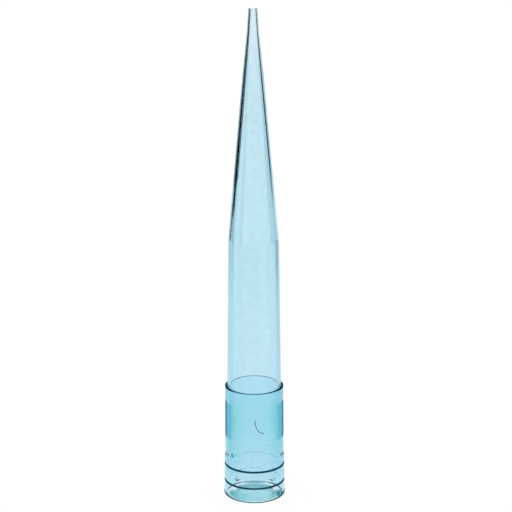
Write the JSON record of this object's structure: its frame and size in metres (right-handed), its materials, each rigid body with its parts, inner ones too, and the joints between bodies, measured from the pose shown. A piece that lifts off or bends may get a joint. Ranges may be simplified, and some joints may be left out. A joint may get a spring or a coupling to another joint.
{
  "type": "pipette tip",
  "caption": "Clear blue one-piece pipette tip: ringed socket collar with a rack ledge, straight body and long fine cone.",
  "frame": {"origin": "centre of the mouth's rim, where the tip stands", "axes": "+Z along the tip's axis from the mouth to the orifice"},
  "size_m": [0.009, 0.009, 0.071],
  "materials": {
    "blue_polypropylene": "smooth, clear, tinted light blue"
  },
  "bodies": {
    "root": {"pipette_tip": "blue_polypropylene"}
  },
  "joints": []
}
